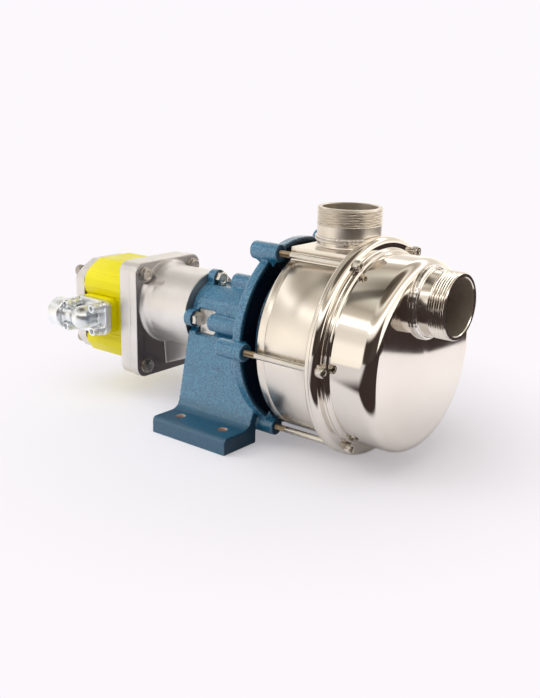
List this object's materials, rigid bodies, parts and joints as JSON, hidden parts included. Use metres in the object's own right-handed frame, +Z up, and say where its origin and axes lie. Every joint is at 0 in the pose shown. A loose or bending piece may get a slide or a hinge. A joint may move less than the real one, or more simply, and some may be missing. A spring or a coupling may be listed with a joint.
{
  "type": "self-priming pump",
  "caption": "Stainless self-priming centrifugal pump on a cast foot bracket, driven by a flanged hydraulic gear motor.",
  "frame": {"origin": "centre of the foot's bolt pattern on the base plane", "axes": "+X along the shaft towards the suction port, +Z up through the discharge port, +Y to the far side"},
  "size_m": [0.458, 0.21, 0.229],
  "materials": {
    "blue_paint": "satin",
    "satin_stainless": "satin",
    "polished_stainless": "polished",
    "bright_steel": "satin",
    "bearing_steel": "polished",
    "cast_aluminium": "matte",
    "yellow_paint": "gloss",
    "zinc_plate": "satin",
    "black_rubber": "matte",
    "seal_ceramic": "polished",
    "seal_carbon": "matte"
  },
  "bodies": {
    "pump": {"bearing_bracket": "blue_paint", "rear_casing": "satin_stainless", "saddle_plate": "satin_stainless", "diffuser": "satin_stainless", "front_cover": "polished_stainless", "suction_nipple": "polished_stainless", "discharge_nipple": "polished_stainless", "tie_bolts": "bright_steel", "nose_bolts": "bright_steel", "motor_bolts": "bright_steel", "motor_screws": "bright_steel", "bearing_circlip": "bright_steel", "bearing_outer_rings": "bearing_steel", "adapter": "cast_aluminium", "motor_front_flange": "cast_aluminium", "motor_rear_cover": "cast_aluminium", "bushing_blocks": "cast_aluminium", "motor_body": "yellow_paint", "near_port_elbow": "zinc_plate", "far_port_elbow": "zinc_plate", "elbow_screws": "zinc_plate", "casing_gasket": "black_rubber", "oil_seal": "black_rubber", "motor_shaft_seal": "black_rubber", "seal_seat": "seal_ceramic"},
    "rotor": {"pump_shaft": "bright_steel", "impeller": "satin_stainless", "impeller_key": "bright_steel", "impeller_nut": "bright_steel", "seal_head": "seal_carbon", "seal_spring": "bright_steel", "slinger": "bright_steel", "bearing_inner_rings": "bearing_steel", "coupling_sleeve": "bright_steel", "drive_gear": "bright_steel"},
    "driven_gear": {"driven_gear": "bright_steel"},
    "ball_set": {"bearing_ball_cages": "bearing_steel"}
  },
  "joints": [
    {"name": "rotor_spin", "type": "hinge", "parent": "pump", "child": "rotor", "pos_m": [0, 0, 0.103], "axis": [1, 0, 0], "continuous": true},
    {"name": "driven_gear_spin", "type": "hinge", "parent": "pump", "child": "driven_gear", "pos_m": [-0.18, 0, 0.072], "axis": [1, 0, 0], "continuous": true},
    {"name": "ball_set_roll", "type": "hinge", "parent": "pump", "child": "ball_set", "pos_m": [0, 0, 0.103], "axis": [1, 0, 0], "continuous": true}
  ],
  "couplings": [
    {"joint": "driven_gear_spin", "follows": "rotor_spin", "ratio": -1},
    {"joint": "ball_set_roll", "follows": "rotor_spin", "ratio": 0.3974}
  ]
}
